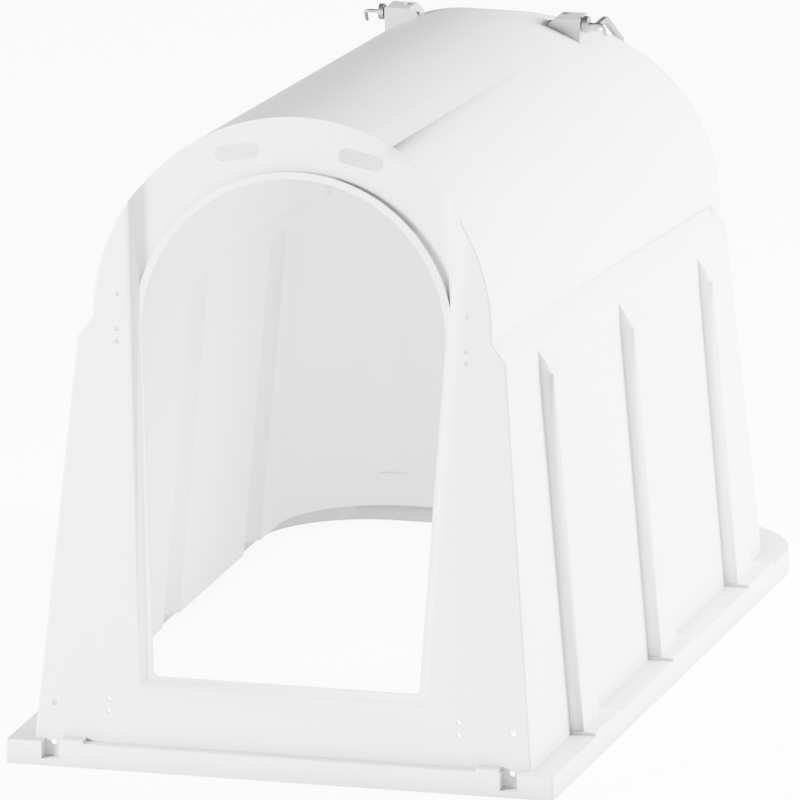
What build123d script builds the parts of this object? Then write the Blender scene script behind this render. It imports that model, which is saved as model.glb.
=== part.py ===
from build123d import *
import os
from math import atan, cos, degrees, radians, sin, sqrt

os.makedirs("parts", exist_ok=True)

# Moulded calf hutch with a rear hatch. Millimetres, +Z up, doorway facing -Y.
# Shapes are drawn with Y = 0 at the front lip and moved to the centre of the base on export.

# ---- Driving dimensions -------------------------------------------------------------------
WIDTH = 1200.0            # base flange, side to side
LENGTH = 2215.0           # base flange, front lip to rear edge
FLANGE_TOP = 53.0         # height of the flange's top face
FLANGE_CORNER = 258.0     # rear corners of the flange
FLANGE_EDGE = 4.0         # rounding round the flange's top edge
WALL = 7.0                # moulded wall
EDGE_RADIUS = 6.0         # rounding round the front face
HALF_WIDTH = 549.0        # side wall from the centre plane, at the ground
REAR_WALL = 2180.0        # rear wall at the ground
DRAFT = 0.0875            # side and rear walls lean in by this much per mm of height
REAR_CORNER = 250.0       # rear corners of the lower walls
FRONT_FACE = 26.5         # front face at the ground
LEAN = 0.083              # the front face leans back by this much per mm of height

VAULT_RADIUS = 437.0
CREST = 1405.0            # top of the vault at the front face
ROOF_FALL = 0.072         # the roof falls to the rear by this much per mm
REAR_ROUNDING = 520.0     # roof to rear wall
VAULT_CORNER = 120.0      # rounding across the rear edge of the vault
SHOULDER = 958.0          # where the lower walls meet the vault, at the front
SHOULDER_DROP = 46.0
SHOULDER_DEPTH = 30.0

RIB_START = 351.0
RIB_PITCH = 647.0
RIB_COUNT = 3
RIB_PROUD = 30.0
RIB_LENGTH = 170.0
RIB_ROOT = 40.0           # how far a rib is carried into the wall
RIB_FRONT_SLOPE = 3.0     # a rib's front face is nearly square, its rear face slopes
RIB_REAR_SLOPE = 45.0
PAD_RISE = 7.0
PAD_LENGTH = 205.0
PAD_WIDTH = 90.0

SILL = 178.0              # bottom of the stepped door frame
FRAME_HALF_LOW = 318.5    # half width of the door frame at the sill
FRAME_SPREAD = 0.043      # the frame widens by this much per mm of height
FRAME_DEPTH = 15.0
ARCH_DEPTH = 30.0         # set-back of the face over the door
FRAME_BEVEL = 41.0        # slope of the frame's step, degrees
DOOR_SILL = 200.0
DOOR_HALF_LOW = 291.0
DOOR_RADIUS = 332.0
DOOR_SPRING = 950.0
LAND = 17.0               # flat rim round the arch of the doorway

SLOT_X = 135.0
SLOT_Z = 1330.0
SLOT_LENGTH = 100.0
SLOT_HEIGHT = 34.0
SLOT_TILT = 10.0

UPPER_HOLES = [(382.0, 1010.0), (382.0, 936.0), (382.0, 910.0)]
LOWER_HOLES = [(383.0, 146.0), (383.0, 120.0)]
FRONT_HOLE_RADIUS = 5.0
ANCHOR_X = 502.0
ANCHOR_HOLES = [130.0, 45.5]
ANCHOR_RADIUS = 6.5
NOTCH_WIDTH = 39.0
NOTCH_FLOOR = 15.0

HINGE_Y = 1664.0
HINGE_Z = 1278.0
PIN_RADIUS = 4.5
PIN_FIT = 0.05            # radial running clearance
BRACKET_INNER = 148.0
BRACKET_OUTER = 218.0
BRACKET_FRONT = 1646.0
BRACKET_REAR = 1712.0
BRACKET_TOP = 1292.0
STRAP_INNER = 222.0
STRAP_THICK = 12.0
STRAP_EYE = 18.0

HATCH_HALF = 150.0        # opening, half width
HATCH_START = 46.0        # opening, degrees round the rear rounding from straight up
HATCH_END = 70.0
COLLAR_WIDTH = 16.0
COLLAR_RISE = 10.0
LID_HALF = 175.0
LID_THICK = 5.0
LID_OVERHANG = 3.0        # degrees of lid past the opening, at top and bottom
LID_GAP = 0.5
LID_SKIRT = 5.0
BUTTON_X = 105.0
BUTTON_ANGLE = 77.0       # pivots of the turn buttons, degrees round the rear rounding
BUTTON_LENGTH = 64.0
BUTTON_WIDTH = 24.0
BUTTON_THICK = 6.0
BOSS_RADIUS = 15.0        # the turn buttons stand on bosses
BOSS_HEIGHT = 24.0
LINK_PAD_X = 454.5        # raised pads beside the flange's anchor notches
LINK_PAD_WIDTH = 49.0
LINK_PAD_DEPTH = 40.0
GRIP_HALF = 45.0          # moulded grip on the lid's lower edge, half width
BRACKET_HEIGHT = 90.0
BRACKET_CHAMFER = 15.0
BRACKET_BOLT_Y = 44.0     # bracket bolts, behind the bracket's front
BRACKET_BOLT_X = 15.0     # bracket bolts, in from each side

# ---- Worked out ----------------------------------------------------------------------------
DRAFT_ANGLE = degrees(atan(DRAFT))
FRONT_Y = FRONT_FACE + LEAN * CREST
CREST_0 = CREST + ROOF_FALL * FRONT_Y
RIB_STARTS = [RIB_START + i * RIB_PITCH for i in range(RIB_COUNT)]
SLOPE_LENGTH = sqrt(1 + ROOF_FALL ** 2)
BIG = 3200.0
ROOF_LIFT = 2.0           # keeps the rounding's tangent line clear of the vault's crest

# centre of the rear rounding: its distance to the roof line and the rear wall is its radius
_top = CREST_0 + ROOF_LIFT - REAR_ROUNDING * SLOPE_LENGTH
_back = REAR_WALL - REAR_ROUNDING * sqrt(1 + DRAFT ** 2)
ROUND_Y = (_back - DRAFT * _top) / (1 - DRAFT * ROOF_FALL)
ROUND_Z = _top - ROOF_FALL * ROUND_Y


def polar(angle, radius):
    """Point on the rear rounding, by degrees from straight up and distance from its centre."""
    return ROUND_Y + radius * sin(radians(angle)), ROUND_Z + radius * cos(radians(angle))


def side_prism(points, half=BIG / 4, fillet_at=None, radius=0.0):
    """Prism along X with an outline given in Y and Z."""
    face = make_face(Plane.YZ * Polyline(*points, close=True))
    if fillet_at:
        near = [v for v in face.vertices() if abs(v.Y - fillet_at[0]) < 1 and abs(v.Z - fillet_at[1]) < 1]
        face = fillet(near, radius)
    return extrude(face, half, both=True)


# ---- Shell ---------------------------------------------------------------------------------
def lower_walls(inset):
    """Tapered lower walls with a sloping shoulder at the top."""
    half = HALF_WIDTH - inset
    rear = REAR_WALL - inset
    plan = make_face(Polyline((-half, -300), (half, -300), (half, rear), (-half, rear), close=True))
    block = extrude(plan, 1300, taper=DRAFT_ANGLE)
    corners = [e for e in block.edges().filter_by(GeomType.LINE)
               if abs(e.tangent_at(0.5).Z) > 0.9 and e.center().Y > 1000]
    block = fillet(corners, REAR_CORNER - inset)
    top = SHOULDER + ROOF_FALL * FRONT_Y - inset
    rise = BIG * ROOF_FALL
    block -= side_prism([(-BIG, top + rise), (BIG, top - rise), (BIG, BIG), (-BIG, BIG)])
    rim = [e for e in block.edges() if e.center().Z > 500 and e.center().Y > 100]
    rim = [e for e in rim if abs(e.tangent_at(0.5).Z) < 0.5]
    top_face = block.faces().sort_by(Axis.Z)[-1]
    return chamfer(rim, SHOULDER_DEPTH, SHOULDER_DROP, reference=top_face)


def vault(inset):
    """Barrel roof with its rear end rounded down to the rear wall."""
    radius = VAULT_RADIUS - inset
    axis = Plane(origin=(0, -400, CREST_0 - VAULT_RADIUS * SLOPE_LENGTH + 400 * ROOF_FALL), x_dir=(1, 0, 0),
                 z_dir=(0, 1, -ROOF_FALL))
    section = Circle(radius) + Pos(0, 350) * Rectangle(2 * radius, 700)
    barrel = extrude(axis * section, BIG)
    roof = CREST_0 + ROOF_LIFT - inset * SLOPE_LENGTH
    rear = REAR_WALL - inset * sqrt(1 + DRAFT ** 2)
    top = (roof - ROOF_FALL * rear) / (1 - DRAFT * ROOF_FALL)
    tip = (rear - DRAFT * top, top)
    outline = [(-500, -500), (-500, roof + 500 * ROOF_FALL), tip, (rear + DRAFT * 500, -500)]
    body = barrel & side_prism(outline, fillet_at=tip, radius=REAR_ROUNDING - inset)
    groin = [e for e in body.edges() if e.center().Y > 1400 and e.center().Z > 100]
    groin = [e for e in groin if abs(e.tangent_at(0.5).X) < 0.999 or e.length > 1500]
    groin = [e for e in groin if not (abs(e.tangent_at(0.5).Y) > 0.99 and e.length > 900)]
    return fillet(groin, VAULT_CORNER - inset)


def rib(side, start, inset):
    """Hollow-backed rib on a side wall, leaning in with the wall."""
    foot = HALF_WIDTH - inset
    root = foot - RIB_ROOT
    crown = foot + RIB_PROUD
    rear = start + RIB_LENGTH - inset
    outline = [(root, start + inset), (crown, start + inset + RIB_FRONT_SLOPE),
               (crown, rear - RIB_REAR_SLOPE), (root, rear + RIB_REAR_SLOPE / 3)]
    face = make_face(Polyline(*[(side * x, y) for x, y in outline], close=True))
    return extrude(face, 1150 * sqrt(1 + DRAFT ** 2), dir=(-side * DRAFT, 0, 1))


def shoulder_cut(inset):
    """Everything above the shoulder's slope and top, over the whole width."""
    top = SHOULDER + ROOF_FALL * FRONT_Y - inset
    ledge = HALF_WIDTH - DRAFT * SHOULDER - inset - SHOULDER_DEPTH
    reach = 200
    low = top - reach * SHOULDER_DROP / SHOULDER_DEPTH
    edge = ledge + reach
    outline = make_face(Plane.XZ * Polyline((-edge, low), (-ledge, top), (ledge, top), (edge, low),
                                            (edge, BIG), (-edge, BIG), close=True))
    return extrude(Pos(0, -200, 200 * ROOF_FALL) * outline, BIG * SLOPE_LENGTH, dir=(0, 1, -ROOF_FALL))


def body(inset):
    """Whole closed form of the hutch over the flange, moved in by the inset."""
    walls = lower_walls(inset)
    cut = shoulder_cut(inset)
    for side in (-1, 1):
        for start in RIB_STARTS:
            walls += rib(side, start, inset) - cut
    return walls + vault(inset)


def front_cut(distance):
    """Everything in front of the leaning front face moved back by a distance."""
    y = FRONT_FACE + distance
    return side_prism([(-BIG, -BIG), (y - LEAN * BIG, -BIG), (y + LEAN * BIG, BIG), (-BIG, BIG)])


def leaning(face, depth, taper=0.0, start=0.0):
    """Push an outline drawn in X and height into the leaning front face."""
    lean = degrees(atan(LEAN))
    across = Pos(0, FRONT_FACE + start, 0) * Rot(X=90 - lean) * face
    return extrude(across, -depth, taper=taper)


def frame_outline(grow=0.0, low=SILL, high=1700.0):
    """Trapezium between the door pillars, open over the roof."""
    low -= grow
    foot = FRAME_HALF_LOW + FRAME_SPREAD * (low - SILL) + grow
    head = FRAME_HALF_LOW + FRAME_SPREAD * (high - SILL) + grow
    return make_face(Polyline((-foot, low), (foot, low), (head, high), (-head, high), close=True))


def door_outline(grow=0.0):
    """Doorway: level sill, sides that widen upward and a round arch."""
    low = DOOR_SILL - grow
    foot = DOOR_HALF_LOW + grow
    radius = DOOR_RADIUS + grow
    sides = Polyline((-radius, DOOR_SPRING), (-foot, low), (foot, low), (radius, DOOR_SPRING))
    arch = ThreePointArc((radius, DOOR_SPRING), (0, DOOR_SPRING + radius), (-radius, DOOR_SPRING))
    face = make_face(sides + arch)
    return fillet(face.vertices().sort_by(Axis.Y)[:2], 12 + grow)


def flange():
    """Base flange: a plate with a skirt, open underneath, with raised pads at the ribs."""
    half = WIDTH / 2

    def plan(inset, front):
        outline = make_face(Polyline((-half + inset, front), (half - inset, front),
                                     (half - inset, LENGTH - inset),
                                     (-half + inset, LENGTH - inset), close=True))
        return fillet(outline.vertices().sort_by(Axis.Y)[-2:], FLANGE_CORNER - inset)

    pad_height = FLANGE_TOP + PAD_RISE
    ring = extrude(plan(0, 0), FLANGE_TOP)
    for start in RIB_STARTS:
        for side in (-1, 1):
            ring += Pos(side * (half - PAD_WIDTH / 2), start + PAD_LENGTH / 2, pad_height / 2) * Box(
                PAD_WIDTH, PAD_LENGTH, pad_height)
    for side in (-1, 1):
        ring += Pos(side * LINK_PAD_X, LINK_PAD_DEPTH / 2, pad_height / 2) * Box(
            LINK_PAD_WIDTH, LINK_PAD_DEPTH, pad_height)
    upright = [e for e in ring.edges() if abs(e.tangent_at(0.5).Z) > 0.9 and e.center().Y < 1]
    ring = fillet([e for e in upright if abs(e.center().X) > half - 1], FLANGE_EDGE * 2)
    high = [e for e in ring.edges() if e.center().Z > FLANGE_TOP - 1 and abs(e.tangent_at(0.5).Z) < 0.1]
    rim = [e for e in high if abs(e.center().X) > half - 9 or e.center().Y < 1
           or (e.center().Y > LENGTH - 200 and e.length > 100)]
    ring = fillet(rim, FLANGE_EDGE)
    ring -= extrude(plan(WALL, WALL), FLANGE_TOP - WALL)
    for side in (-1, 1):
        ring += Pos(side * ANCHOR_X, LINK_PAD_DEPTH / 2, FLANGE_TOP / 2) * Box(
            NOTCH_WIDTH + 2 * WALL, LINK_PAD_DEPTH, FLANGE_TOP)
    return ring


def hatch_block(half, start, end, inner, outer):
    """Curved block on the rear rounding, between two angles and two radii."""
    mid = (start + end) / 2
    arc_in = ThreePointArc(polar(start, inner), polar(mid, inner), polar(end, inner))
    arc_out = ThreePointArc(polar(start, outer), polar(mid, outer), polar(end, outer))
    face = make_face(Plane.YZ * (arc_in + arc_out + Line(polar(start, inner), polar(start, outer))
                                 + Line(polar(end, inner), polar(end, outer))))
    return extrude(face, half, both=True)


def button_frame(side):
    """Plane on the end of a turn button's boss, with its X towards the lid."""
    y, z = polar(BUTTON_ANGLE, REAR_ROUNDING + COLLAR_RISE + LID_GAP + LID_THICK + 0.3)
    out = (0, sin(radians(BUTTON_ANGLE)), cos(radians(BUTTON_ANGLE)))
    toward = (0, -cos(radians(BUTTON_ANGLE)), sin(radians(BUTTON_ANGLE)))
    return Plane(origin=(side * BUTTON_X, y, z), x_dir=toward, z_dir=out)


def build_outer():
    """Outer form with everything in front of the front face removed."""
    form = body(0) - front_cut(0)
    rim = [e for e in form.edges() if e.center().Z > FLANGE_TOP
           and all(abs((e @ t).Y - FRONT_FACE - LEAN * (e @ t).Z) < 0.1 for t in (0, 0.3, 0.7, 1))]
    return fillet(rim, EDGE_RADIUS)


def make_shell(outer):
    collar = hatch_block(HATCH_HALF + COLLAR_WIDTH, HATCH_START - 1.5, HATCH_END + 1.5, REAR_ROUNDING - WALL,
                         REAR_ROUNDING + COLLAR_RISE)
    above = side_prism([(-BIG, FLANGE_TOP - WALL), (BIG, FLANGE_TOP - WALL), (BIG, BIG), (-BIG, BIG)])
    shell = (outer & above) + flange()
    foot = extrude(make_face(Polyline((-HALF_WIDTH + 3, 0), (HALF_WIDTH - 3, 0), (HALF_WIDTH - 3, 60),
                                      (-HALF_WIDTH + 3, 60), close=True)), FLANGE_TOP)
    shell += (foot & front_cut(WALL)) - front_cut(0)
    inner = body(WALL) - front_cut(WALL)
    backing = leaning(frame_outline(WALL), FRAME_DEPTH + WALL)
    arch = leaning(frame_outline(WALL), ARCH_DEPTH + WALL) & leaning(arch_zone(), ARCH_DEPTH + WALL)
    cavity = inner - backing - arch
    shell -= cavity & side_prism([(-BIG, -1), (BIG, -1), (BIG, BIG), (-BIG, BIG)])
    shell += collar
    for side in (-1, 1):
        frame = button_frame(side)
        shell += frame * Cylinder(BOSS_RADIUS, BOSS_HEIGHT, align=DOWN)
    shell -= leaning(frame_outline(), FRAME_DEPTH, taper=FRAME_BEVEL)
    land = leaning(door_outline(LAND), BIG / 4, start=-50)
    shell -= leaning(frame_outline(), ARCH_DEPTH, taper=FRAME_BEVEL) - land - below_spring()
    shell -= leaning(door_outline(), 200, start=-20)
    shell -= hatch_block(HATCH_HALF, HATCH_START, HATCH_END, REAR_ROUNDING - 80, REAR_ROUNDING + 60)
    return drill(shell)


def arch_zone():
    """Area over the doorway's shoulders, where the face is set back further."""
    return make_face(Polyline((-500, DOOR_SPRING + 40), (500, DOOR_SPRING + 40), (500, 1700), (-500, 1700),
                              close=True))


def below_spring():
    """Block that keeps the set-back face above the springing of the arch."""
    return Pos(0, 100, (DOOR_SPRING + 30) / 2) * Box(1200, 400, DOOR_SPRING + 30)


def bore_y(x, z, radius, length=300.0):
    """Cylinder along Y through the front."""
    return Pos(x, length / 2 - 20, z) * Rot(X=90) * Cylinder(radius, length)


def drill(shell):
    for side in (-1, 1):
        slot = Rot(0, 0, -side * SLOT_TILT) * SlotOverall(SLOT_LENGTH, SLOT_HEIGHT)
        shell -= leaning(Pos(side * SLOT_X, SLOT_Z) * slot, 200, start=-20)
        for x, z in UPPER_HOLES + LOWER_HOLES:
            shell -= bore_y(side * x, z, FRONT_HOLE_RADIUS)
        notch = Pos(side * ANCHOR_X, 0, NOTCH_FLOOR + 50) * Box(NOTCH_WIDTH, 120, 100)
        shell -= notch & front_cut(0)
        for z in ANCHOR_HOLES:
            shell -= bore_y(side * ANCHOR_X, z, ANCHOR_RADIUS)
        frame = button_frame(side)
        shell -= frame * Cylinder(BOLT_RADIUS + 0.2, 200)
        for spot in bracket_spots(side):
            shell -= spot * Cylinder(BOLT_RADIUS + 0.2, 120)
    return shell


# ---- Fasteners -----------------------------------------------------------------------------
BOLT_RADIUS = 3.0
HEAD_RADIUS = 5.8
HEAD_HEIGHT = 4.0
WASHER_RADIUS = 9.0
WASHER_THICK = 1.6
NUT_HEIGHT = 5.0
UP = (Align.CENTER, Align.CENTER, Align.MIN)
DOWN = (Align.CENTER, Align.CENTER, Align.MAX)


def hex_prism(height, align):
    return extrude(RegularPolygon(HEAD_RADIUS, 6), height if align is UP else -height)


def bolt(grip):
    """Hex bolt with its head's underside at zero and its shank pointing down."""
    head = chamfer(hex_prism(HEAD_HEIGHT, UP).faces().sort_by(Axis.Z)[-1].edges(), 0.6)
    return head + Cylinder(BOLT_RADIUS, grip + 9, align=DOWN)


def washer():
    return Cylinder(WASHER_RADIUS, WASHER_THICK, align=DOWN) - Cylinder(BOLT_RADIUS + 0.3, 10)


def nut():
    return hex_prism(NUT_HEIGHT, DOWN) - Cylinder(BOLT_RADIUS, 30)


def bracket_spots(side):
    """Planes on the roof under a bracket, square to the vault, at its two bolts."""
    spots = []
    y = BRACKET_FRONT + BRACKET_BOLT_Y
    spring = CREST_0 - VAULT_RADIUS - ROOF_FALL * y
    for x in (BRACKET_INNER + BRACKET_BOLT_X, BRACKET_OUTER - BRACKET_BOLT_X):
        rise = sqrt(VAULT_RADIUS ** 2 - x ** 2)
        normal = Vector(side * x, ROOF_FALL * rise, rise).normalized()
        spots.append(Plane(origin=(side * x, y, spring + rise), x_dir=(0, 1, -ROOF_FALL),
                           z_dir=tuple(normal)))
    return spots


POCKET = 9.0              # height of a bracket's bolt seat over the roof
SEAT_GAP = 0.2            # keeps brackets and their nuts clear of the curved roof


def make_bracket(side, outer):
    """Hinge block: sits on the vault, carries the pin and is held by two bolts."""
    width = BRACKET_OUTER - BRACKET_INNER
    depth = BRACKET_REAR - BRACKET_FRONT
    block = Pos(side * (BRACKET_INNER + BRACKET_OUTER) / 2, BRACKET_FRONT + depth / 2, BRACKET_TOP) * Box(
        width, depth, BRACKET_HEIGHT, align=DOWN)
    top = block.faces().sort_by(Axis.Z)[-1]
    inner_edge = top.edges().sort_by(Axis.X)[0 if side > 0 else -1]
    block = chamfer([inner_edge], BRACKET_CHAMFER)
    edges = [e for e in block.edges() if e.center().Z > BRACKET_TOP - 30 and abs(e.tangent_at(0.5).Z) < 0.9]
    block = fillet([e for e in edges if e.length > 40], 3)
    block -= outer
    block = max(block.solids(), key=lambda s: s.volume)
    for spot in bracket_spots(side):
        block -= spot * Pos(0, 0, POCKET) * Cylinder(WASHER_RADIUS + 2, 80, align=UP)
        block -= spot * Cylinder(BOLT_RADIUS + 0.2, 120)
    block = Pos(0, 0, SEAT_GAP) * block
    return block - Pos(0, HINGE_Y, HINGE_Z) * Rot(Y=90) * Cylinder(PIN_RADIUS + PIN_FIT, 700)


def make_pin(side):
    """Steel pin with a bent pull at its outer end."""
    inner = BRACKET_INNER - 4
    outer = STRAP_INNER + STRAP_THICK + 16
    rod = Pos(side * (inner + outer) / 2, HINGE_Y, HINGE_Z) * Rot(Y=90) * Cylinder(PIN_RADIUS, outer - inner)
    rod = chamfer(rod.edges().sort_by(Axis.X)[0 if side > 0 else -1], 1)
    path = FilletPolyline((side * outer, HINGE_Y, HINGE_Z), (side * (outer + 16), HINGE_Y, HINGE_Z),
                          (side * (outer + 16), HINGE_Y + 14, HINGE_Z - 24), radius=9)
    profile = Plane(origin=path @ 0, z_dir=path % 0) * Circle(PIN_RADIUS)
    return rod + sweep(profile, path)


# ---- Hatch ---------------------------------------------------------------------------------
LID_START = HATCH_START - 1.5 - LID_OVERHANG
LID_STOP = HATCH_END + 1.5 + LID_OVERHANG
LID_UNDER = REAR_ROUNDING + COLLAR_RISE + LID_GAP
LID_TOP = LID_UNDER + LID_THICK
FOOT_ANGLE = LID_START + 1.75
FOOT_LENGTH = 30.0
FOOT_THICK = 4.0
FOOT_INNER = 118.0
FOOT_BOLTS = (134.0, 160.0)


def foot_frame():
    """Plane of the strap feet, flat on the lid."""
    y, z = polar(FOOT_ANGLE, LID_TOP + 0.05)
    out = (0, sin(radians(FOOT_ANGLE)), cos(radians(FOOT_ANGLE)))
    return Plane(origin=(0, y, z), x_dir=(1, 0, 0), z_dir=out)


def make_lid():
    """Curved lid with a skirt that covers the collar and a moulded grip at its lower edge."""
    plate = hatch_block(LID_HALF, LID_START, LID_STOP, REAR_ROUNDING + 3, LID_TOP)
    edge = degrees(LID_SKIRT / REAR_ROUNDING)
    hollow = hatch_block(LID_HALF - LID_SKIRT, LID_START + edge, LID_STOP - edge, REAR_ROUNDING - 5,
                         LID_UNDER)
    lid = plate - hollow
    lid += hatch_block(GRIP_HALF, LID_STOP - 0.5, LID_STOP + 2.5, LID_UNDER, LID_TOP)
    plane = foot_frame()
    for side in (-1, 1):
        for x in FOOT_BOLTS:
            lid -= plane * Pos(side * x, 0, 0) * Cylinder(BOLT_RADIUS + 0.2, 60)
    return lid


def make_strap(side):
    """Hinge strap: an eye on the pin, an arm over the roof and a foot on the lid."""
    plane = foot_frame()
    y, z = polar(FOOT_ANGLE, LID_TOP + FOOT_THICK / 2 + 1)
    knee = polar(FOOT_ANGLE - 17, REAR_ROUNDING + 6)
    arm = Plane.YZ * trace(Polyline((HINGE_Y, HINGE_Z), (HINGE_Y + 62, HINGE_Z - 24), knee, (y, z)), 12)
    eye = Plane.YZ * Pos(HINGE_Y, HINGE_Z) * Circle(STRAP_EYE)
    start = STRAP_INNER if side > 0 else -STRAP_INNER - STRAP_THICK
    strap = Pos(start, 0, 0) * (extrude(arm, STRAP_THICK) + extrude(eye, STRAP_THICK))
    width = STRAP_INNER + STRAP_THICK - FOOT_INNER
    foot = plane * Pos(side * (FOOT_INNER + width / 2), 0, 0) * Box(width, FOOT_LENGTH, FOOT_THICK, align=UP)
    strap += foot
    strap -= Pos(0, HINGE_Y, HINGE_Z) * Rot(Y=90) * Cylinder(PIN_RADIUS + PIN_FIT, 700)
    for x in FOOT_BOLTS:
        strap -= plane * Pos(side * x, 0, 0) * Cylinder(BOLT_RADIUS + 0.2, 60)
    return strap


def make_button(side):
    """Turn button, drawn turned aside; it swings a quarter turn over the lid's lower edge."""
    reach = BUTTON_LENGTH / 2 - BUTTON_WIDTH / 2
    blade = extrude(Pos(reach, 0) * SlotOverall(BUTTON_LENGTH, BUTTON_WIDTH), BUTTON_THICK)
    blade = fillet(blade.faces().sort_by(Axis.Z)[-1].edges(), 1.5)
    blade -= Cylinder(BOLT_RADIUS + 0.05, 60)
    return button_frame(side) * Pos(0, 0, 0.05) * Rot(Z=side * 90) * blade


# ---- Build and write -----------------------------------------------------------------------
def group(pieces):
    return Compound(children=list(pieces))


outer = build_outer()
parts = {"hutch_shell": make_shell(outer), "hatch_lid": make_lid()}
for name, side in (("left", -1), ("right", 1)):
    parts["hinge_bracket_" + name] = make_bracket(side, outer)
    parts["hinge_pin_" + name] = make_pin(side)
    parts["hinge_strap_" + name] = make_strap(side)
    parts["turn_button_" + name] = make_button(side)

seats = [spot for side in (-1, 1) for spot in bracket_spots(side)]
feet = [foot_frame() * Pos(side * x, 0, 0) for side in (-1, 1) for x in FOOT_BOLTS]
posts = [button_frame(side) for side in (-1, 1)]
# each stack of fasteners: its spots, the height of its upper seat and the depth of its lower one
stacks = {
    "bracket": (seats, POCKET + SEAT_GAP, WALL + SEAT_GAP),
    "strap": (feet, FOOT_THICK, LID_THICK + 0.05),
    "button": (posts, BUTTON_THICK + 0.1, BOSS_HEIGHT),
}
for name, (spots, seat, depth) in stacks.items():
    over = [spot * Pos(0, 0, seat + WASHER_THICK + 0.02) for spot in spots]
    under = [spot * Pos(0, 0, -depth - 0.05) for spot in spots]
    parts[name + "_bolts"] = group([spot * bolt(seat + depth + WASHER_THICK) for spot in over])
    parts[name + "_washers"] = group([spot * washer() for spot in over])
    parts[name + "_nuts"] = group([spot * nut() for spot in under])

for name, shape in parts.items():
    export_step(Pos(0, -LENGTH / 2, 0) * shape, "parts/" + name + ".step")
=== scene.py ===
from math import radians

import bmesh
import bpy
import numpy as np
from bpy.props import FloatProperty, FloatVectorProperty, PointerProperty
from mathutils import Euler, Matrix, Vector


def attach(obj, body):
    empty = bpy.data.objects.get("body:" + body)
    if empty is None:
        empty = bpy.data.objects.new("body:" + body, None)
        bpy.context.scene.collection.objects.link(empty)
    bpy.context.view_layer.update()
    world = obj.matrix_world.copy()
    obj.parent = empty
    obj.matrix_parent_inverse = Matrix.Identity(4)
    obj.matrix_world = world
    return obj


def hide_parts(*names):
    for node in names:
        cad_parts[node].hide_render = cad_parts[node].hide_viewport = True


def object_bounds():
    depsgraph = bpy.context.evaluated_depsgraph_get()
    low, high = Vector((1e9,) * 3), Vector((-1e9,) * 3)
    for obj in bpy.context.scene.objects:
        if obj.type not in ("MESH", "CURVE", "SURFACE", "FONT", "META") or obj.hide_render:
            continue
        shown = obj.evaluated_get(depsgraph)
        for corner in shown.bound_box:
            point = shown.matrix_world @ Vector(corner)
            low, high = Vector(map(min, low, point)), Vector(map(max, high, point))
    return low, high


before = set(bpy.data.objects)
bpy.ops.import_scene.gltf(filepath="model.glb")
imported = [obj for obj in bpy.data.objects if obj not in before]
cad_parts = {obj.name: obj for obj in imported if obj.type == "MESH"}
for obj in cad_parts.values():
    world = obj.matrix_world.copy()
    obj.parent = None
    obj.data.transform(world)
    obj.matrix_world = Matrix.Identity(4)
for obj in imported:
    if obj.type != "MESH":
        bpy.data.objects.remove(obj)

bl_info = {
    "name": "Calf Hutch",
    "version": (1, 0, 0),
    "blender": (4, 5, 0),
    "location": "View3D > Sidebar > Hutch",
    "description": "Finishes, fasteners and studio of a moulded calf hutch with a rear hatch",
    "category": "Object",
}

CAD_BOX = [list(corner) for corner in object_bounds()]
LOW, HIGH = (Vector(corner) for corner in CAD_BOX)
MIDDLE = (LOW + HIGH) / 2
MERGE = 1e-5              # metres; vertices closer than this are one
STACKS = {"bracket": "hutch", "strap": "hatch", "button": "hutch"}    # body that each stack rides on
HUTCH_SIDES = ("left", "right")


# ---- Settings ------------------------------------------------------------------------------
def length(name, description, default):
    return FloatProperty(name=name, description=description, default=default, min=0.0, unit="LENGTH")


def colour(name, description, default):
    return FloatVectorProperty(name=name, description=description, default=default, subtype="COLOR",
                               size=3, min=0.0, max=1.0)


class HutchFinishes(bpy.types.PropertyGroup):
    """Colours of the hutch's finishes."""
    shell: colour("Shell", "White polyethylene of the shell and the lid", (0.86, 0.87, 0.87))
    block: colour("Blocks", "Grey plastic of the hinge blocks and turn buttons", (0.44, 0.45, 0.46))
    steel: colour("Steel", "Dark steel of the hinge straps and pins", (0.055, 0.052, 0.048))
    zinc: colour("Zinc", "Zinc plating of the bolts, washers and nuts", (0.58, 0.59, 0.60))
    grain: length("Grain", "Size of the fine grain that the mould leaves", 0.0022)
    ripple: length("Ripple", "Size of the soft waves in the moulded walls", 0.16)


class HutchFasteners(bpy.types.PropertyGroup):
    """Sizes of the hex bolts, their washers and nuts."""
    head_radius: length("Head", "Hex head and nut, centre to corner", 0.0058)
    head_height: length("Head Height", "Height of the bolt's head", 0.004)
    chamfer: length("Chamfer", "Bevel on the head's and nut's corners", 0.0007)
    shank_radius: length("Shank", "Radius of the bolt's shank", 0.003)
    washer_radius: length("Washer", "Outer radius of the washer", 0.009)
    washer_hole: length("Washer Hole", "Radius of the washer's hole", 0.0033)


class HutchStage(bpy.types.PropertyGroup):
    """Floor, camera and lights."""
    floor: length("Floor", "Half width of the floor", 40.0)
    azimuth: FloatProperty(name="Azimuth", description="Camera round the hutch, from straight ahead",
                           default=radians(15.262), subtype="ANGLE")
    elevation: FloatProperty(name="Elevation", description="Camera's downward tilt",
                             default=radians(14.142), subtype="ANGLE")
    lens: FloatProperty(name="Lens", description="Focal length in millimetres", default=1200.0, min=1.0)
    camera: FloatVectorProperty(name="Camera", description="Camera's place", subtype="TRANSLATION",
                                default=(14.5615, -53.5015, 14.5334), unit="LENGTH")


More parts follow.
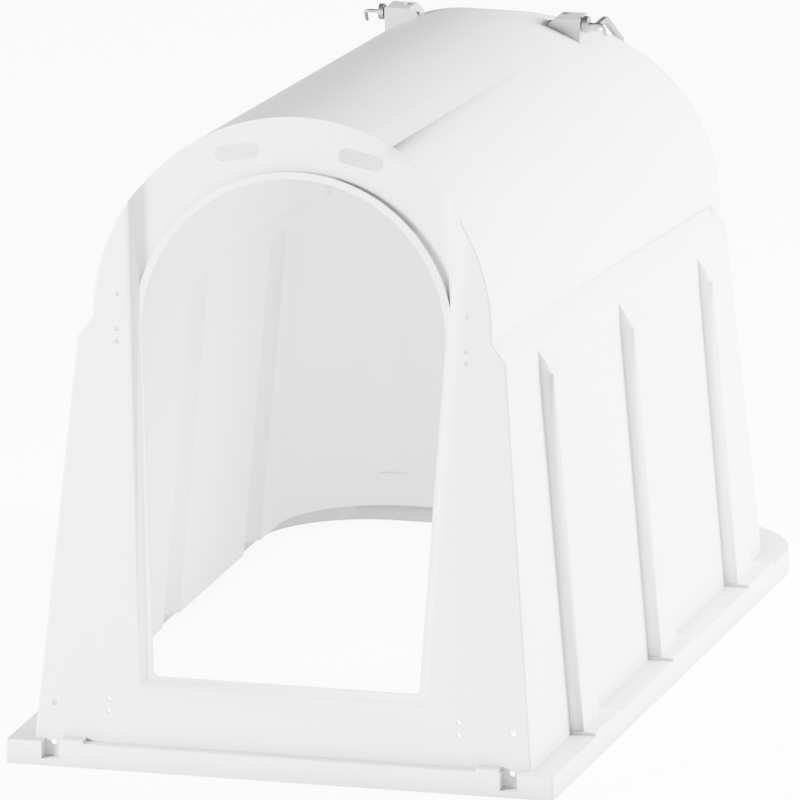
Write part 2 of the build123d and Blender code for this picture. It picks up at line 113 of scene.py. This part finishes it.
# ---- Shader groups and materials -----------------------------------------------------------
# Scales are in waves per metre. A span is the lowest and highest value of a noise or a result.
CLOUD_SCALE, CLOUD_SPAN = 3.5, (0.3, 0.7)
CLOUD_TINT, CLOUD_TONE = 0.10, (0.70, 0.71, 0.72)
RUB_SCALE, RUB_SPAN = 60.0, (0.60, 0.78)
RUB_STRETCH = (1.0, 1.0, 0.08)            # rub marks run down the walls
RUB_TINT, RUB_TONE, RUB_DULLING = 0.06, (0.62, 0.62, 0.62), 0.10
FOOT_HEIGHT = 0.16                        # metres above the ground where the dust ends
DUST_CLOUD, DUST_SPAN = (0.35, 0.7), (0.02, 0.14)
DUST_TONE = (0.55, 0.53, 0.49)
PLASTIC_ROUGHNESS = (0.36, 0.48)
GRAIN_DULLING, GRAIN_HEIGHT = 0.06, 0.10
BRUSH_SCALE, BRUSH_SPAN = 900.0, (0.3, 0.7)
BRUSH_STRETCH = (0.12, 1.0, 1.0)          # brushing runs across the hutch
STAIN_SCALE, STAIN_SPAN = 38.0, (0.48, 0.72)
STAIN_TONE, STAIN_DULLING = (0.10, 0.085, 0.07), 0.22
PATCH_TINT, PATCH_TONE = 0.22, (0.80, 0.81, 0.83)
METAL_ROUGHNESS = (0.28, 0.42)
METAL_RELIEF = 0.3                        # share of the brushing and of the stains in the height
# painted shade: inner corners darken towards this tone wherever ambient occlusion finds them
CREVICE_SHADE_TONE = (0.30, 0.31, 0.32)
CREVICE_REACH = 0.06                      # metres from a corner that the painted shade reaches
CREVICE_SPAN = (0.45, 0.95)
CREVICE_SAMPLES = 8
REFRACTION = 1.5


def group_tree(name, inputs, outputs):
    """New shader node group with its sockets: (name, type, default) in, (name, type) out."""
    tree = bpy.data.node_groups.new(name, "ShaderNodeTree")
    for title, kind, default in inputs:
        socket = tree.interface.new_socket(title, in_out="INPUT", socket_type=kind)
        socket.default_value = default
    for title, kind in outputs:
        tree.interface.new_socket(title, in_out="OUTPUT", socket_type=kind)
    return tree, tree.nodes.new("NodeGroupInput"), tree.nodes.new("NodeGroupOutput")


def noise(tree, vector, scale, detail, roughness=0.5):
    """Noise texture on a vector; a number or a socket sets its scale."""
    node = tree.nodes.new("ShaderNodeTexNoise")
    node.inputs["Detail"].default_value = detail
    node.inputs["Roughness"].default_value = roughness
    tree.links.new(vector, node.inputs["Vector"])
    if isinstance(scale, float):
        node.inputs["Scale"].default_value = scale
    else:
        tree.links.new(scale, node.inputs["Scale"])
    return node.outputs["Fac"]


def remap(tree, value, low, high, to_low, to_high):
    """Map Range from one span of values to another, clamped."""
    node = tree.nodes.new("ShaderNodeMapRange")
    tree.links.new(value, node.inputs["Value"])
    for title, number in (("From Min", low), ("From Max", high), ("To Min", to_low), ("To Max", to_high)):
        node.inputs[title].default_value = number
    return node.outputs["Result"]


def math(tree, operation, first, second):
    """Math node; each side is a number or a socket."""
    node = tree.nodes.new("ShaderNodeMath")
    node.operation = operation
    for socket, value in zip(node.inputs, (first, second)):
        if isinstance(value, (int, float)):
            socket.default_value = value
        else:
            tree.links.new(value, socket)
    return node.outputs["Value"]


def tint(tree, base, factor, toward):
    """Mix a colour socket towards a fixed colour by a mask."""
    node = tree.nodes.new("ShaderNodeMix")
    node.data_type = "RGBA"
    tree.links.new(factor, node.inputs["Factor"])
    tree.links.new(base, node.inputs["A"])
    node.inputs["B"].default_value = (*toward, 1.0)
    return node.outputs["Result"]


def moulded_surface():
    """Moulded plastic: pebbled grain, slow ripples, cloudy tone, fine rub marks and a duller foot."""
    inputs = [("Color", "NodeSocketColor", (0.8, 0.8, 0.8, 1.0)), ("Grain Scale", "NodeSocketFloat", 400.0),
              ("Ripple Scale", "NodeSocketFloat", 6.0), ("Ripple", "NodeSocketFloat", 1.0)]
    outputs = [("Color", "NodeSocketColor"), ("Roughness", "NodeSocketFloat"), ("Height", "NodeSocketFloat")]
    tree, given, result = group_tree("Moulded Surface", inputs, outputs)
    place = tree.nodes.new("ShaderNodeTexCoord").outputs["Object"]
    grain = noise(tree, place, given.outputs["Grain Scale"], 2.0)
    ripple = noise(tree, place, given.outputs["Ripple Scale"], 1.0)
    cloud = noise(tree, place, CLOUD_SCALE, 4.0, 0.6)
    stretch = tree.nodes.new("ShaderNodeMapping")
    stretch.inputs["Scale"].default_value = RUB_STRETCH
    tree.links.new(place, stretch.inputs["Vector"])
    rub = remap(tree, noise(tree, stretch.outputs["Vector"], RUB_SCALE, 6.0, 0.7), *RUB_SPAN, 0.0, 1.0)
    split = tree.nodes.new("ShaderNodeSeparateXYZ")
    tree.links.new(place, split.inputs["Vector"])
    foot = remap(tree, split.outputs["Z"], 0.0, FOOT_HEIGHT, 1.0, 0.0)
    dust = math(tree, "MULTIPLY", foot, remap(tree, cloud, *DUST_CLOUD, *DUST_SPAN))
    clouding = remap(tree, cloud, *CLOUD_SPAN, 0.0, CLOUD_TINT)
    clouded = tint(tree, given.outputs["Color"], clouding, CLOUD_TONE)
    dusty = tint(tree, clouded, dust, DUST_TONE)
    rubbed = tint(tree, dusty, math(tree, "MULTIPLY", rub, RUB_TINT), RUB_TONE)
    tree.links.new(rubbed, result.inputs["Color"])
    rough = remap(tree, cloud, *CLOUD_SPAN, *PLASTIC_ROUGHNESS)
    dull = math(tree, "ADD", rough, math(tree, "MULTIPLY", grain, GRAIN_DULLING))
    duller = math(tree, "ADD", dull, math(tree, "MULTIPLY", rub, RUB_DULLING))
    tree.links.new(duller, result.inputs["Roughness"])
    waves = math(tree, "MULTIPLY", ripple, given.outputs["Ripple"])
    height = math(tree, "ADD", waves, math(tree, "MULTIPLY", grain, GRAIN_HEIGHT))
    tree.links.new(height, result.inputs["Height"])
    return tree


def metal_surface():
    """Plated or bare metal: crystal patches, stretched brushing and darker stains."""
    inputs = [("Color", "NodeSocketColor", (0.5, 0.5, 0.5, 1.0)), ("Patch Scale", "NodeSocketFloat", 120.0),
              ("Stain", "NodeSocketFloat", 0.4)]
    outputs = [("Color", "NodeSocketColor"), ("Roughness", "NodeSocketFloat"), ("Height", "NodeSocketFloat")]
    tree, given, result = group_tree("Metal Surface", inputs, outputs)
    place = tree.nodes.new("ShaderNodeTexCoord").outputs["Object"]
    patch = tree.nodes.new("ShaderNodeTexVoronoi")
    tree.links.new(place, patch.inputs["Vector"])
    tree.links.new(given.outputs["Patch Scale"], patch.inputs["Scale"])
    tone = tree.nodes.new("ShaderNodeSeparateColor")
    tree.links.new(patch.outputs["Color"], tone.inputs["Color"])
    stretch = tree.nodes.new("ShaderNodeMapping")
    stretch.inputs["Scale"].default_value = BRUSH_STRETCH
    tree.links.new(place, stretch.inputs["Vector"])
    brush = noise(tree, stretch.outputs["Vector"], BRUSH_SCALE, 4.0, 0.6)
    stain = remap(tree, noise(tree, place, STAIN_SCALE, 6.0, 0.65), *STAIN_SPAN, 0.0, 1.0)
    patched = tint(tree, given.outputs["Color"], math(tree, "MULTIPLY", tone.outputs["Red"], PATCH_TINT),
                   PATCH_TONE)
    stained = tint(tree, patched, math(tree, "MULTIPLY", stain, given.outputs["Stain"]), STAIN_TONE)
    tree.links.new(stained, result.inputs["Color"])
    rough = math(tree, "ADD", remap(tree, brush, *BRUSH_SPAN, *METAL_ROUGHNESS),
                 math(tree, "MULTIPLY", stain, STAIN_DULLING))
    tree.links.new(rough, result.inputs["Roughness"])
    height = math(tree, "ADD", math(tree, "MULTIPLY", brush, METAL_RELIEF),
                  math(tree, "MULTIPLY", stain, METAL_RELIEF))
    tree.links.new(height, result.inputs["Height"])
    return tree


def surface_group(title, build):
    """The group of that name, built on its first use."""
    return bpy.data.node_groups.get(title) or build()


def painted_crevice_shade(tree, amount):
    """Mask of the inner corners, where ambient occlusion paints shade into the colour."""
    node = tree.nodes.new("ShaderNodeAmbientOcclusion")
    node.samples = CREVICE_SAMPLES
    node.inputs["Distance"].default_value = CREVICE_REACH
    return remap(tree, node.outputs["AO"], *CREVICE_SPAN, amount, 0.0)


def finish_material(name, group, values, metallic, bump_distance, bump_strength, crevice_shade=0.0):
    """Principled material whose colour, roughness and bump come from a surface group."""
    found = bpy.data.materials.get(name)
    if found:
        return found
    material = bpy.data.materials.new(name)
    material.use_nodes = True
    nodes, links = material.node_tree.nodes, material.node_tree.links
    shader = nodes["Principled BSDF"]
    shader.inputs["Metallic"].default_value = metallic
    shader.inputs["IOR"].default_value = REFRACTION
    surface = nodes.new("ShaderNodeGroup")
    surface.node_tree = group
    for title, value in values.items():
        surface.inputs[title].default_value = value
    bump = nodes.new("ShaderNodeBump")
    bump.inputs["Distance"].default_value = bump_distance
    bump.inputs["Strength"].default_value = bump_strength
    shaded = surface.outputs["Color"]
    # painted shade: the colour darkens in the inner corners
    if crevice_shade:
        shaded = tint(material.node_tree, shaded, painted_crevice_shade(material.node_tree, crevice_shade), CREVICE_SHADE_TONE)
    links.new(shaded, shader.inputs["Base Color"])
    links.new(surface.outputs["Roughness"], shader.inputs["Roughness"])
    links.new(surface.outputs["Height"], bump.inputs["Height"])
    links.new(bump.outputs["Normal"], shader.inputs["Normal"])
    return material


def plastic(name, tone, settings, ripple):
    """Moulded plastic of one tone; ripple is the share of the slow waves."""
    group = surface_group("Moulded Surface", moulded_surface)
    values = {"Color": (*tone, 1.0), "Grain Scale": 1 / settings.grain, "Ripple Scale": 1 / settings.ripple,
              "Ripple": ripple}
    # the plastics take painted shade in their inner corners
    return finish_material(name, group, values, metallic=0.0, bump_distance=0.001, bump_strength=0.35,
                           crevice_shade=0.6)


def shell_material(settings):
    return plastic("shell_polyethylene", settings.shell, settings, ripple=1.0)


def block_material(settings):
    return plastic("grey_plastic", settings.block, settings, ripple=0.1)


def steel_material(settings):
    group = surface_group("Metal Surface", metal_surface)
    values = {"Color": (*settings.steel, 1.0), "Patch Scale": 90.0, "Stain": 0.55}
    return finish_material("dark_steel", group, values, metallic=0.8, bump_distance=0.0004,
                           bump_strength=0.5)


def zinc_material(settings):
    group = surface_group("Metal Surface", metal_surface)
    values = {"Color": (*settings.zinc, 1.0), "Patch Scale": 260.0, "Stain": 0.2}
    return finish_material("zinc_plating", group, values, metallic=1.0, bump_distance=0.0003,
                           bump_strength=0.4)


# ---- Meshes --------------------------------------------------------------------------------
FLAT = 0.05               # degrees; faces nearer to one plane than this are one
SHARP = 28.0              # degrees; an edge of a CAD piece past this stays sharp
FASTENER_SHARP = 25.0     # degrees; the same for a fastener
LID_ROUNDING = 0.0012     # metres; bevel on the lid's edges
HINGE_ROUNDING = 0.0008   # metres; bevel on the hinge blocks' and straps' edges
ROUNDING_STEPS = 2
TERMINATOR_GEOMETRY, TERMINATOR_SHADING = 0.3, 0.2    # keep long facets out of the smooth shading


def smooth(mesh, sharp):
    """Smooth shading with sharp edges over an angle in degrees."""
    mesh.shade_smooth()
    mesh.set_sharp_from_angle(angle=radians(sharp))


def finished_copy(node, name, material, body, bevel=0.0):
    """Merged, smooth copy of a CAD node that stands for it."""
    shape = bmesh.new()
    shape.from_mesh(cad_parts[node].data)
    bmesh.ops.remove_doubles(shape, verts=shape.verts, dist=MERGE)
    bmesh.ops.dissolve_limit(shape, angle_limit=radians(FLAT), verts=shape.verts, edges=shape.edges)
    mesh = bpy.data.meshes.new(name)
    shape.to_mesh(mesh)
    shape.free()
    mesh.materials.append(material)
    smooth(mesh, SHARP)
    piece = bpy.data.objects.new(name, mesh)
    bpy.context.scene.collection.objects.link(piece)
    if bevel:
        round_edges(piece, bevel)
    even = piece.modifiers.new("Even Normals", "WEIGHTED_NORMAL")
    even.keep_sharp = True
    piece.cycles.shadow_terminator_geometry_offset = TERMINATOR_GEOMETRY
    piece.cycles.shadow_terminator_offset = TERMINATOR_SHADING
    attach(piece, body)
    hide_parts(node)
    return piece


def round_edges(piece, width):
    """Small rounding along the sharp edges."""
    rounding = piece.modifiers.new("Rounded Edges", "BEVEL")
    rounding.width = width
    rounding.segments = ROUNDING_STEPS
    rounding.limit_method = "ANGLE"
    rounding.angle_limit = radians(SHARP)
    rounding.harden_normals = True


# ---- Fasteners -----------------------------------------------------------------------------
HEX_SIDES = 6
SHANK_SIDES = 24
WASHER_SIDES = 40


def islands(node):
    """Vertices of each separate solid of a CAD node, in order of their places."""
    shape = bmesh.new()
    shape.from_mesh(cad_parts[node].data)
    bmesh.ops.remove_doubles(shape, verts=shape.verts, dist=MERGE)
    left = set(shape.verts)
    found = []
    while left:
        grown = [left.pop()]
        for vert in grown:
            for edge in vert.link_edges:
                other = edge.other_vert(vert)
                if other in left:
                    left.remove(other)
                    grown.append(other)
        found.append(np.array([vert.co[:] for vert in grown]))
    shape.free()
    return sorted(found, key=lambda points: tuple(points.mean(0).round(5)))


def bolt_lines(stack):
    """Centre and outward axis of each washer in a stack of fasteners."""
    lines = []
    for points in islands(stack + "_washers"):
        centre = (points.min(0) + points.max(0)) / 2
        axis = np.linalg.svd(points - centre)[2][-1]
        if axis @ (centre - np.array(MIDDLE)) < 0:
            axis = -axis
        lines.append((centre, axis))
    return lines


def reach(node, line):
    """Lowest and highest point of a node's nearest solid along a bolt's line."""
    centre, axis = line
    nearest = min(islands(node), key=lambda points: np.linalg.norm(points.mean(0) - centre))
    along = (nearest - centre) @ axis
    return float(along.min()), float(along.max())


def kit_tree(name, sizes):
    """Geometry Nodes tree with a geometry input, named sizes and a material."""
    tree = bpy.data.node_groups.new(name, "GeometryNodeTree")
    tree.interface.new_socket("Geometry", in_out="INPUT", socket_type="NodeSocketGeometry")
    for title in sizes:
        tree.interface.new_socket(title, in_out="INPUT", socket_type="NodeSocketFloat")
    tree.interface.new_socket("Material", in_out="INPUT", socket_type="NodeSocketMaterial")
    tree.interface.new_socket("Geometry", in_out="OUTPUT", socket_type="NodeSocketGeometry")
    return tree, tree.nodes.new("NodeGroupInput")


def vector(tree, height):
    """Vector that points up by a height given as a socket."""
    node = tree.nodes.new("ShaderNodeCombineXYZ")
    tree.links.new(height, node.inputs["Z"])
    return node.outputs["Vector"]


def hexagon_prism(tree, radius, height, chamfer):
    """Closed hex prism that stands on its origin, with a chamfered top."""
    links = tree.links
    base = tree.nodes.new("GeometryNodeMeshCircle")
    base.fill_type = "NGON"
    base.inputs["Vertices"].default_value = HEX_SIDES
    links.new(radius, base.inputs["Radius"])
    under = tree.nodes.new("GeometryNodeFlipFaces")
    links.new(base.outputs["Mesh"], under.inputs["Mesh"])
    body_height = math(tree, "SUBTRACT", height, chamfer)
    share = math(tree, "DIVIDE", chamfer, radius)
    top_scale = math(tree, "SUBTRACT", 1.0, share)
    sides = extrude(tree, base.outputs["Mesh"], None, body_height)
    slope = extrude(tree, sides.outputs["Mesh"], sides.outputs["Top"], chamfer)
    shrink = tree.nodes.new("GeometryNodeScaleElements")
    links.new(slope.outputs["Mesh"], shrink.inputs["Geometry"])
    links.new(slope.outputs["Top"], shrink.inputs["Selection"])
    links.new(top_scale, shrink.inputs["Scale"])
    closed = join(tree, shrink.outputs["Geometry"], under.outputs["Mesh"])
    merge = tree.nodes.new("GeometryNodeMergeByDistance")
    links.new(closed, merge.inputs["Geometry"])
    merge.inputs["Distance"].default_value = MERGE
    return merge.outputs["Geometry"]


def extrude(tree, mesh, selection, height):
    """Raise the selected faces, or all of them, straight up."""
    node = tree.nodes.new("GeometryNodeExtrudeMesh")
    tree.links.new(mesh, node.inputs["Mesh"])
    if selection:
        tree.links.new(selection, node.inputs["Selection"])
    node.inputs["Individual"].default_value = False
    tree.links.new(vector(tree, height), node.inputs["Offset"])
    return node


def join(tree, *shapes):
    """Join shapes into one."""
    node = tree.nodes.new("GeometryNodeJoinGeometry")
    for shape in shapes:
        tree.links.new(shape, node.inputs["Geometry"])
    return node.outputs["Geometry"]


def place_on_lines(tree, given, shape):
    """Put a copy of a shape on each point, stood along the point's axis, and finish the tree."""
    axis = tree.nodes.new("GeometryNodeInputNamedAttribute")
    axis.data_type = "FLOAT_VECTOR"
    axis.inputs["Name"].default_value = "axis"
    turn = tree.nodes.new("FunctionNodeAlignRotationToVector")
    turn.axis = "Z"
    tree.links.new(axis.outputs["Attribute"], turn.inputs["Vector"])
    spread = tree.nodes.new("GeometryNodeInstanceOnPoints")
    tree.links.new(given.outputs["Geometry"], spread.inputs["Points"])
    tree.links.new(shape, spread.inputs["Instance"])
    tree.links.new(turn.outputs["Rotation"], spread.inputs["Rotation"])
    real = tree.nodes.new("GeometryNodeRealizeInstances")
    tree.links.new(spread.outputs["Instances"], real.inputs["Geometry"])
    coat = tree.nodes.new("GeometryNodeSetMaterial")
    tree.links.new(real.outputs["Geometry"], coat.inputs["Geometry"])
    tree.links.new(given.outputs["Material"], coat.inputs["Material"])
    tree.links.new(coat.outputs["Geometry"], tree.nodes.new("NodeGroupOutput").inputs["Geometry"])
    return tree


def bolt_tree():
    """Hex head that stands on its point, over a plain shank."""
    tree, given = kit_tree("Hex Bolt", ("Head Radius", "Head Height", "Chamfer", "Shank Radius",
                                        "Shank Length"))
    head = hexagon_prism(tree, given.outputs["Head Radius"], given.outputs["Head Height"],
                         given.outputs["Chamfer"])
    shank = tree.nodes.new("GeometryNodeMeshCylinder")
    shank.inputs["Vertices"].default_value = SHANK_SIDES
    tree.links.new(given.outputs["Shank Radius"], shank.inputs["Radius"])
    tree.links.new(given.outputs["Shank Length"], shank.inputs["Depth"])
    lower = tree.nodes.new("GeometryNodeTransform")
    tree.links.new(shank.outputs["Mesh"], lower.inputs["Geometry"])
    half = math(tree, "MULTIPLY", given.outputs["Shank Length"], -0.5)
    tree.links.new(vector(tree, half), lower.inputs["Translation"])
    return place_on_lines(tree, given, join(tree, head, lower.outputs["Geometry"]))


def nut_tree():
    """Hex nut that stands on its point."""
    tree, given = kit_tree("Hex Nut", ("Head Radius", "Height", "Chamfer"))
    return place_on_lines(tree, given, hexagon_prism(
        tree, given.outputs["Head Radius"], given.outputs["Height"], given.outputs["Chamfer"]))


def washer_tree():
    """Flat ring that lies on its point."""
    tree, given = kit_tree("Flat Washer", ("Outer Radius", "Hole Radius", "Thickness"))
    links = tree.links
    outer, hole = given.outputs["Outer Radius"], given.outputs["Hole Radius"]
    ring = tree.nodes.new("GeometryNodeCurvePrimitiveCircle")
    ring.inputs["Resolution"].default_value = WASHER_SIDES
    links.new(math(tree, "MULTIPLY", math(tree, "ADD", outer, hole), 0.5), ring.inputs["Radius"])
    section = tree.nodes.new("GeometryNodeCurvePrimitiveQuadrilateral")
    links.new(math(tree, "SUBTRACT", outer, hole), section.inputs["Width"])
    links.new(given.outputs["Thickness"], section.inputs["Height"])
    body = tree.nodes.new("GeometryNodeCurveToMesh")
    links.new(ring.outputs["Curve"], body.inputs["Curve"])
    links.new(section.outputs["Curve"], body.inputs["Profile Curve"])
    lift = tree.nodes.new("GeometryNodeTransform")
    links.new(body.outputs["Mesh"], lift.inputs["Geometry"])
    half = math(tree, "MULTIPLY", given.outputs["Thickness"], 0.5)
    links.new(vector(tree, half), lift.inputs["Translation"])
    return place_on_lines(tree, given, lift.outputs["Geometry"])


def fastener_set(stack, kind, tree, values, foot, material):
    """One kind of fastener at every line of a stack, made by its tree and baked to a mesh."""
    lines = bolt_lines(stack)
    name = stack + "_" + kind + "_set"
    points = bpy.data.meshes.new(name)
    points.from_pydata([centre + axis * foot for centre, axis in lines], [], [])
    axes = points.attributes.new("axis", "FLOAT_VECTOR", "POINT")
    axes.data.foreach_set("vector", np.concatenate([axis for _, axis in lines]).astype(np.float32))
    piece = bpy.data.objects.new(name, points)
    bpy.context.scene.collection.objects.link(piece)
    kit = piece.modifiers.new("Fasteners", "NODES")
    kit.node_group = tree
    identifiers = {item.name: item.identifier for item in tree.interface.items_tree if item.in_out == "INPUT"}
    for title, value in values.items():
        kit[identifiers[title]] = value
    kit[identifiers["Material"]] = material
    bpy.context.view_layer.update()
    made = piece.evaluated_get(bpy.context.evaluated_depsgraph_get())
    mesh = bpy.data.meshes.new_from_object(made)
    piece.modifiers.clear()
    piece.data = mesh
    outward(mesh)
    smooth(mesh, FASTENER_SHARP)
    if not mesh.polygons:
        raise RuntimeError(name + " came out empty")
    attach(piece, STACKS[stack])
    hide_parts(stack + "_" + kind)
    return piece


def outward(mesh):
    """Turn every closed shell of a mesh to face outwards."""
    shape = bmesh.new()
    shape.from_mesh(mesh)
    bmesh.ops.recalc_face_normals(shape, faces=shape.faces)
    shape.to_mesh(mesh)
    shape.free()


# ---- Stage ---------------------------------------------------------------------------------
# name, place, size in metres and power in watts of each soft light
STUDIO_LIGHTS = (
    ("key_right", (6.5, 2.6, 3.0), 3.5, 4300.0),
    ("fill_front", (-5.2, -6.0, 1.8), 2.0, 3000.0),
    ("cabin_glow", (0.1, -0.1, 0.03), 0.5, 26.0),
)
WORLD_LIGHT = 0.35        # light that the backdrop gives to the hutch
WORLD_SEEN = 12.0         # brightness of the backdrop itself
FLOOR_LIGHT = 0.9         # light that the floor gives to the hutch
FLOOR_SEEN = 9.0          # brightness of the floor itself
FLOOR_TONE = (0.93, 0.93, 0.93, 1.0)
WHITE = (1.0, 1.0, 1.0, 1.0)
SENSOR_WIDTH = 36.0       # millimetres
VIEW_END = 500.0          # metres; the camera sees no further


def strength_for(tree, light, seen):
    """Strength of a glow: one value for the light it gives and one for what the camera sees."""
    camera_ray = tree.nodes.new("ShaderNodeLightPath").outputs["Is Camera Ray"]
    return remap(tree, camera_ray, 0.0, 1.0, light, seen)


def lay_floor(half):
    """Pale, glowing ground of a given half width."""
    shape = bmesh.new()
    bmesh.ops.create_grid(shape, x_segments=1, y_segments=1, size=half)
    mesh = bpy.data.meshes.new("floor")
    shape.to_mesh(mesh)
    shape.free()
    material = bpy.data.materials.new("pale_floor")
    material.use_nodes = True
    shader = material.node_tree.nodes["Principled BSDF"]
    shader.inputs["Base Color"].default_value = FLOOR_TONE
    shader.inputs["Roughness"].default_value = 0.9
    shader.inputs["Emission Color"].default_value = WHITE
    glow = strength_for(material.node_tree, FLOOR_LIGHT, FLOOR_SEEN)
    material.node_tree.links.new(glow, shader.inputs["Emission Strength"])
    mesh.materials.append(material)
    floor = bpy.data.objects.new("floor", mesh)
    bpy.context.scene.collection.objects.link(floor)


def light_world():
    """White backdrop."""
    world = bpy.data.worlds.new("studio")
    world.use_nodes = True
    tree = world.node_tree
    background = tree.nodes["Background"]
    background.inputs["Color"].default_value = WHITE
    tree.links.new(strength_for(tree, WORLD_LIGHT, WORLD_SEEN), background.inputs["Strength"])
    bpy.context.scene.world = world


def soft_light(name, place, size, power):
    """Square area light that faces the hutch's middle."""
    light = bpy.data.lights.new(name, "AREA")
    light.size = size
    light.energy = power
    lamp = bpy.data.objects.new(name, light)
    lamp.location = place
    lamp.rotation_euler = (MIDDLE - Vector(place)).to_track_quat("-Z", "Y").to_euler()
    lamp.visible_camera = False
    bpy.context.scene.collection.objects.link(lamp)


# ---- Operators -----------------------------------------------------------------------------
class HUTCH_OT_shell(bpy.types.Operator):
    """Finish the moulded shell"""
    bl_idname = "hutch.shell"
    bl_label = "Moulded Shell"

    def execute(self, context):
        material = shell_material(context.scene.hutch_finishes)
        finished_copy("hutch_shell", "moulded_shell", material, "hutch")
        return {"FINISHED"}


class HUTCH_OT_hatch(bpy.types.Operator):
    """Finish the curved lid of the rear hatch"""
    bl_idname = "hutch.hatch"
    bl_label = "Rear Hatch"

    def execute(self, context):
        material = shell_material(context.scene.hutch_finishes)
        finished_copy("hatch_lid", "moulded_lid", material, "hatch", bevel=LID_ROUNDING)
        return {"FINISHED"}


class HUTCH_OT_hinges(bpy.types.Operator):
    """Finish the hinge blocks, straps and pins"""
    bl_idname = "hutch.hinges"
    bl_label = "Hinges"

    def execute(self, context):
        finishes = context.scene.hutch_finishes
        steel, block = steel_material(finishes), block_material(finishes)
        for side in HUTCH_SIDES:
            finished_copy("hinge_bracket_" + side, "hinge_block_" + side, block, "hutch",
                          bevel=HINGE_ROUNDING)
            finished_copy("hinge_strap_" + side, "steel_strap_" + side, steel, "hatch",
                          bevel=HINGE_ROUNDING)
            finished_copy("hinge_pin_" + side, "steel_pin_" + side, steel, "pin_" + side)
        return {"FINISHED"}


class HUTCH_OT_buttons(bpy.types.Operator):
    """Finish the turn buttons that hold the lid shut"""
    bl_idname = "hutch.buttons"
    bl_label = "Turn Buttons"

    def execute(self, context):
        material = block_material(context.scene.hutch_finishes)
        for side in HUTCH_SIDES:
            finished_copy("turn_button_" + side, "lid_button_" + side, material,
                          "button_" + side)
        return {"FINISHED"}


class HUTCH_OT_fasteners(bpy.types.Operator):
    """Make the bolts, washers and nuts of the blocks, straps and turn buttons"""
    bl_idname = "hutch.fasteners"
    bl_label = "Fasteners"

    def execute(self, context):
        sizes = context.scene.hutch_fasteners
        material = zinc_material(context.scene.hutch_finishes)
        trees = {"bolts": bolt_tree(), "washers": washer_tree(), "nuts": nut_tree()}
        hexagon = {"Head Radius": sizes.head_radius, "Chamfer": sizes.chamfer}
        for stack in STACKS:
            line = bolt_lines(stack)[0]
            low, high = reach(stack + "_bolts", line)
            under_head = high - sizes.head_height
            fastener_set(stack, "bolts", trees["bolts"],
                         {**hexagon, "Head Height": sizes.head_height, "Shank Radius": sizes.shank_radius,
                          "Shank Length": under_head - low}, under_head, material)
            low, high = reach(stack + "_washers", line)
            fastener_set(stack, "washers", trees["washers"],
                         {"Outer Radius": sizes.washer_radius, "Hole Radius": sizes.washer_hole,
                          "Thickness": high - low}, low, material)
            low, high = reach(stack + "_nuts", line)
            fastener_set(stack, "nuts", trees["nuts"], {**hexagon, "Height": high - low}, low, material)
        return {"FINISHED"}


class HUTCH_OT_stage(bpy.types.Operator):
    """Set the floor, the soft lights and the camera"""
    bl_idname = "hutch.stage"
    bl_label = "Stage"

    def execute(self, context):
        stage = context.scene.hutch_stage
        lay_floor(stage.floor)
        light_world()
        for name, place, size, power in STUDIO_LIGHTS:
            soft_light(name, place, size, power)
        lens = bpy.data.cameras.new("Camera")
        lens.lens = stage.lens
        lens.sensor_width = SENSOR_WIDTH
        lens.clip_end = VIEW_END
        camera = bpy.data.objects.new("Camera", lens)
        camera.location = stage.camera
        level = radians(90.0)
        camera.rotation_euler = Euler((level - stage.elevation, 0.0, stage.azimuth))
        context.scene.collection.objects.link(camera)
        context.scene.camera = camera
        return {"FINISHED"}


# ---- Panel and registration ----------------------------------------------------------------
class HUTCH_PT_panel(bpy.types.Panel):
    """The hutch's pieces, in the order in which they are made"""
    bl_idname = "HUTCH_PT_panel"
    bl_label = "Calf Hutch"
    bl_space_type = "VIEW_3D"
    bl_region_type = "UI"
    bl_category = "Hutch"

    def draw(self, context):
        for settings in (context.scene.hutch_finishes, context.scene.hutch_fasteners,
                         context.scene.hutch_stage):
            box = self.layout.box()
            for title in settings.__annotations__:
                box.prop(settings, title)
        for operator in OPERATORS:
            self.layout.operator(operator.bl_idname)


SETTINGS = {"hutch_finishes": HutchFinishes, "hutch_fasteners": HutchFasteners, "hutch_stage": HutchStage}
OPERATORS = (HUTCH_OT_stage, HUTCH_OT_shell, HUTCH_OT_hatch, HUTCH_OT_hinges, HUTCH_OT_buttons,
             HUTCH_OT_fasteners)


def register():
    for group in (*SETTINGS.values(), *OPERATORS, HUTCH_PT_panel):
        bpy.utils.register_class(group)
    for name, group in SETTINGS.items():
        setattr(bpy.types.Scene, name, PointerProperty(type=group))


def unregister():
    for name in SETTINGS:
        delattr(bpy.types.Scene, name)
    for group in reversed((*SETTINGS.values(), *OPERATORS, HUTCH_PT_panel)):
        bpy.utils.unregister_class(group)


def main():
    register()
    bpy.ops.hutch.stage()
    bpy.ops.hutch.shell()
    bpy.ops.hutch.hatch()
    bpy.ops.hutch.hinges()
    bpy.ops.hutch.buttons()
    bpy.ops.hutch.fasteners()


if __name__ == "__main__":
    main()
